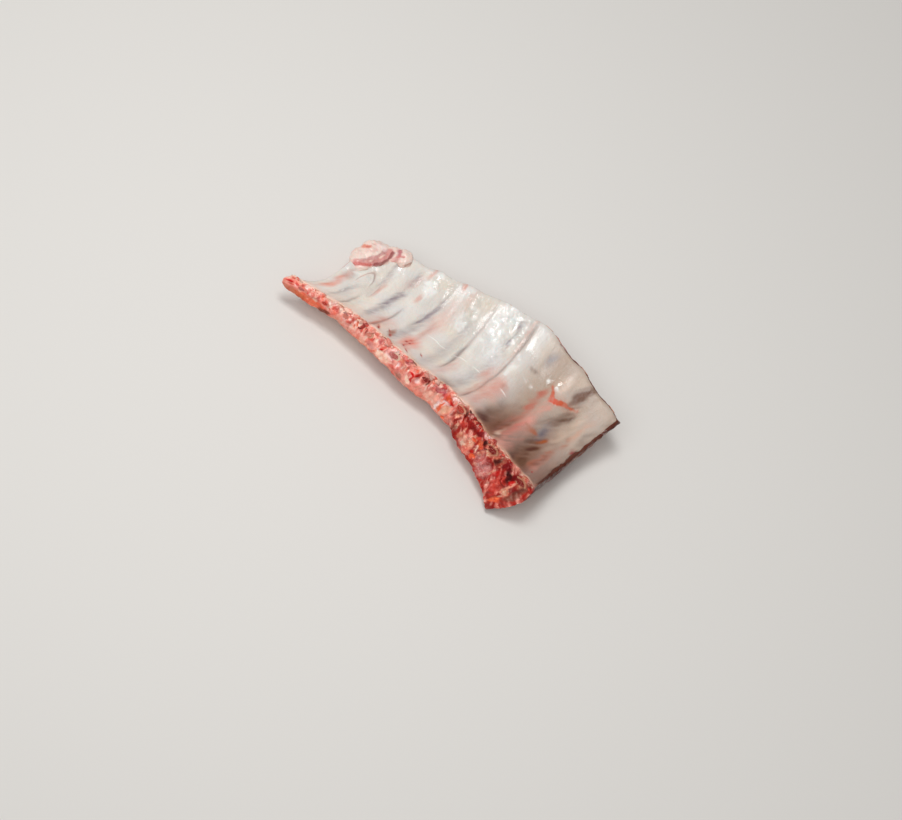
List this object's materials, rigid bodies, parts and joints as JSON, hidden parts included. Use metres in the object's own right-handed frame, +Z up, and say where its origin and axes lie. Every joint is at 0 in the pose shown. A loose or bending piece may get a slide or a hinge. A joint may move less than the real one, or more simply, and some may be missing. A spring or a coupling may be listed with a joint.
{
  "type": "rack of ribs",
  "caption": "Raw pork rib rack, bone side up: a curved slab with a pale membrane, sawn rib ends along its front edge and two fat lumps at its thin corner.",
  "frame": {"origin": "on the surface that the rack lies on, under the middle of its box", "axes": "+X along the rack from its thin end to its thick end, +Y from the sawn front edge to the back edge, +Z up out of the membrane"},
  "size_m": [0.3026, 0.1732, 0.0456],
  "materials": {
    "meat": "moist raw meat and fat under a pale membrane",
    "bone": "sawn raw bone"
  },
  "bodies": {
    "root": {"meat": "meat", "rib_1": "bone", "rib_2": "bone", "rib_3": "bone", "rib_4": "bone", "rib_5": "bone", "rib_6": "bone", "rib_7": "bone", "rib_8": "bone", "rib_9": "bone"}
  },
  "joints": []
}
